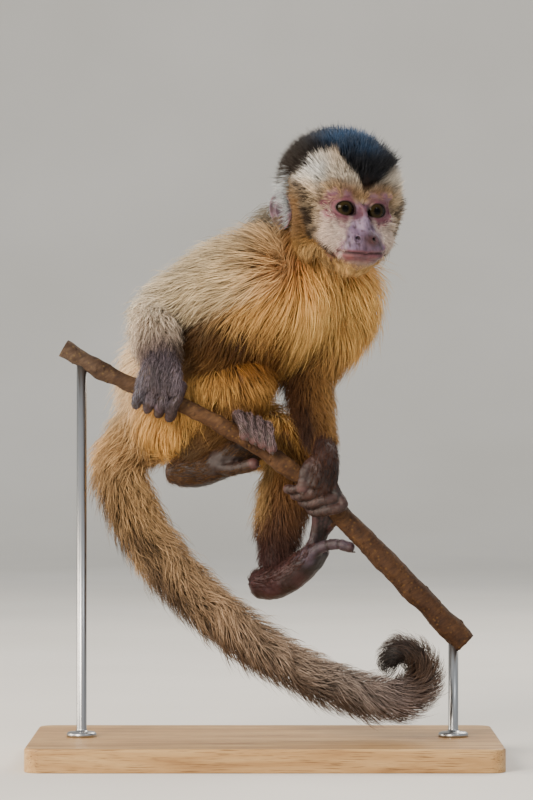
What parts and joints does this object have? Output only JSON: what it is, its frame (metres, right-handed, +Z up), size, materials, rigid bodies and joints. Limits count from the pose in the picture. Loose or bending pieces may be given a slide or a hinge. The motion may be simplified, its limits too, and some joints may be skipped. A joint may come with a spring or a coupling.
{
  "type": "capuchin monkey model",
  "caption": "Life-size still model of a young tufted capuchin monkey crouching on a sloping cut branch, tail hanging in a curl, on a flat base with rods.",
  "frame": {"origin": "middle of the underside of the display base", "axes": "+Z up; the branch runs along X from high at -X to low at +X; the face looks along -Y and a little along +X"},
  "size_m": [0.28, 0.1732, 0.38],
  "materials": {
    "fur_gold": "dense coat of golden buff hair",
    "fur_pale": "cream hair of the face, with the black-brown cap",
    "fur_grey": "beige-grey hair of the arm",
    "fur_dark": "dark brown hair",
    "skin_dark": "wrinkled purplish brown skin",
    "skin_ear": "thin pink-grey skin",
    "eye": "wet gloss",
    "bark": "rough brown bark",
    "oak": "satin oiled wood",
    "rod_steel": "brushed"
  },
  "bodies": {
    "root": {"stand_base": "oak", "stand_rod_left": "rod_steel", "stand_rod_right": "rod_steel", "perch": "bark", "eye_left": "eye", "eye_right": "eye", "head": "fur_pale", "ear_left": "skin_ear", "ear_right": "skin_ear", "neck": "fur_gold", "torso": "fur_gold", "hips": "fur_gold", "upper_arm_right": "fur_grey", "forearm_right": "fur_grey", "hand_right": "skin_dark", "upper_arm_left": "fur_gold", "forearm_left": "fur_dark", "hand_left": "skin_dark", "thigh_right": "fur_gold", "shank_right": "fur_gold", "foot_right": "skin_dark", "thigh_left": "fur_gold", "shank_left": "fur_dark", "foot_left": "skin_dark", "tail_base": "fur_grey", "tail_middle": "fur_grey", "tail_end": "fur_dark", "tail_tip": "fur_dark"}
  },
  "joints": []
}
